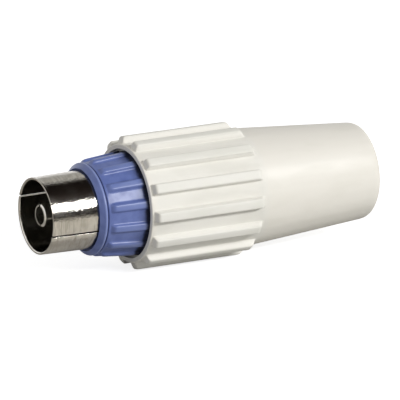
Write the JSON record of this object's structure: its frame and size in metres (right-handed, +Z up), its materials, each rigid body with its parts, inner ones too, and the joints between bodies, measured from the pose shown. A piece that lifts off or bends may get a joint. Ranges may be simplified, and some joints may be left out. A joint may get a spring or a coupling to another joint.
{
  "type": "coaxial socket",
  "caption": "Coaxial aerial socket for a cable end: slit metal mating sleeve with a split centre contact, fluted collar, and a ribbed, tapered cable sleeve that screws on from behind.",
  "frame": {"origin": "centre of the mating face, in the plane of the metal sleeve's rim", "axes": "+X along the connector's axis towards the cable end, +Z up as it lies on two of its ribs"},
  "size_m": [0.0485, 0.0176, 0.0174],
  "materials": {
    "nickel_sheet": "bright nickel plate with fine rolling lines",
    "black_plastic": "dull black moulding",
    "plated_contact": "satin nickel plate",
    "screw_metal": "plated",
    "blue_plastic": "semi-gloss moulding",
    "collet_brass": "turned brass",
    "grey_plastic": "satin moulding",
    "ivory_plastic": "satin moulding"
  },
  "bodies": {
    "socket": {"outer_shell": "nickel_sheet", "insulator": "black_plastic", "centre_contact": "plated_contact", "conductor_screw": "screw_metal", "grip_collar": "blue_plastic", "braid_collet": "collet_brass"},
    "ring": {"pressure_ring": "grey_plastic"},
    "sleeve": {"screw_sleeve": "ivory_plastic"}
  },
  "joints": [
    {"name": "sleeve_travel", "type": "slide", "parent": "socket", "child": "ring", "axis": [1, 0, 0], "range_m": [0, 0.006]},
    {"name": "sleeve_turn", "type": "hinge", "parent": "ring", "child": "sleeve", "pos_m": [0.0271, 0, 0], "axis": [1, 0, 0], "range_deg": [0, 1440]}
  ],
  "couplings": [
    {"joint": "sleeve_travel", "follows": "sleeve_turn", "m_per_rad": 0.00023873}
  ]
}
